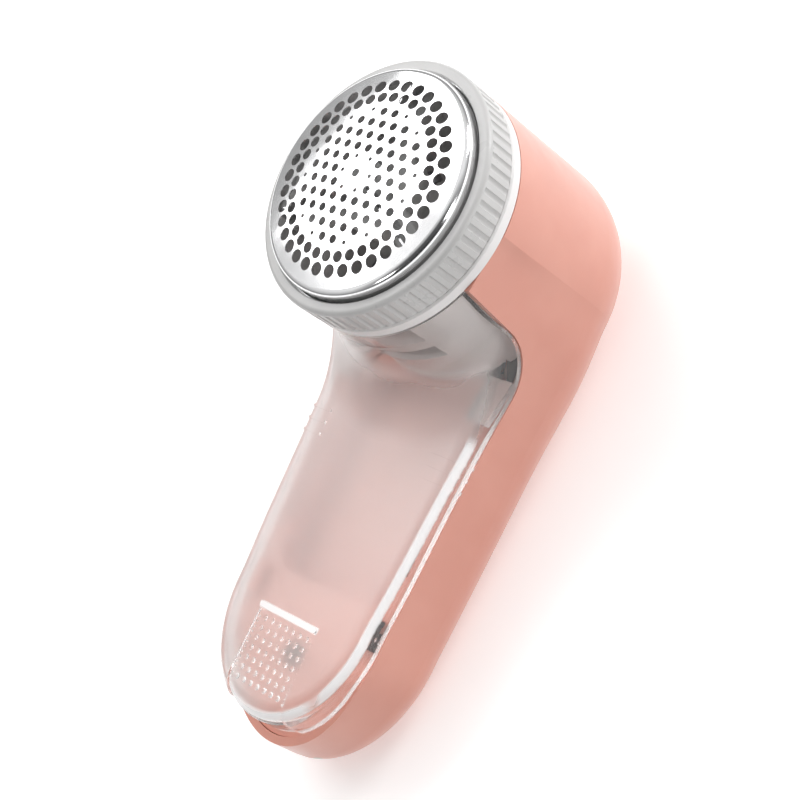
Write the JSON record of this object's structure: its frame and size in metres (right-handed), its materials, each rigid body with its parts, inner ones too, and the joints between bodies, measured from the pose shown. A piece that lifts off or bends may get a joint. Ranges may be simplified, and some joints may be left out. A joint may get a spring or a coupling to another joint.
{
  "type": "fabric shaver",
  "caption": "Handheld rechargeable fabric shaver: domed perforated foil under a knurled screw ring, angled clear lint box on the front of a rounded handle, motor and cell inside.",
  "frame": {"origin": "centre of the flat back that the shaver lies on", "axes": "+Z out of the shaving foil, +Y from the handle end to the head, +X to the right seen from the front"},
  "size_m": [0.0612, 0.1496, 0.0732],
  "materials": {
    "pink_shell": "satin moulded ABS with a soft lacquer",
    "pink_panel": "satin moulded ABS",
    "grey_housing": "fine satin",
    "ring_white": "satin, off-white",
    "foil_steel": "polished nickel-plated steel",
    "clear_box": "clear polycarbonate, lightly frosted inside",
    "hub_white": "satin",
    "blade_steel": "ground",
    "motor_steel": "zinc plated",
    "brass_parts": "plain",
    "copper_wire": "enamelled copper",
    "magnet_ferrite": "sintered",
    "seal_rubber": "matte",
    "screw_steel": "zinc plated",
    "screw_dark": "black oxide",
    "battery_wrap": "shrink wrap",
    "nickel_strip": "nickel",
    "board_green": "solder mask",
    "component_black": "moulded epoxy",
    "led_clear": "clear",
    "dark_plastic": "satin",
    "catch_dark": "blackened spring steel",
    "red_insulation": "PVC",
    "black_insulation": "PVC"
  },
  "bodies": {
    "housing": {"rear_shell": "pink_shell", "front_panel": "pink_panel", "cutter_housing": "grey_housing", "motor_can": "motor_steel", "motor_end_cap": "dark_plastic", "motor_terminals": "brass_parts", "motor_bushes": "brass_parts", "motor_magnets": "magnet_ferrite", "shaft_seal": "seal_rubber", "motor_screws": "screw_steel", "housing_screws": "screw_steel", "panel_screw": "screw_dark", "board_screws": "screw_steel", "battery_cell": "battery_wrap", "battery_contacts": "nickel_strip", "battery_cradle": "dark_plastic", "circuit_board": "board_green", "board_components": "component_black", "charge_jack": "nickel_strip", "charge_led": "led_clear", "light_pipe": "led_clear", "switch_body": "component_black", "box_catches": "catch_dark", "red_leads": "red_insulation", "black_lead": "black_insulation"},
    "cutter": {"cutter_hub": "hub_white", "cutter_blades": "blade_steel", "motor_shaft": "blade_steel", "motor_armature": "motor_steel", "motor_windings": "copper_wire", "motor_commutator": "brass_parts"},
    "foil": {"foil": "foil_steel"},
    "ring": {"screw_ring": "ring_white"},
    "lint_box": {"lint_box": "clear_box"},
    "switch": {"switch_button": "grey_housing", "switch_lever": "grey_housing"}
  },
  "joints": [
    {"name": "cutter_spin", "type": "hinge", "parent": "housing", "child": "cutter", "pos_m": [0, 0.0442, 0.05], "axis": [0, 0, 1], "continuous": true},
    {"name": "foil_lift", "type": "slide", "parent": "housing", "child": "foil", "axis": [0, 0, 1], "range_m": [0, 0.004]},
    {"name": "ring_turn", "type": "hinge", "parent": "foil", "child": "ring", "pos_m": [0, 0.0442, 0.062], "axis": [0, 0, 1], "range_deg": [0, 360]},
    {"name": "lint_box_slide", "type": "slide", "parent": "housing", "child": "lint_box", "axis": [0, -1, 0], "range_m": [0, 0.03]},
    {"name": "switch_slide", "type": "slide", "parent": "housing", "child": "switch", "axis": [0, 1, 0], "range_m": [0, 0.004]}
  ],
  "couplings": [
    {"joint": "foil_lift", "follows": "ring_turn", "m_per_rad": 0.00063662}
  ]
}
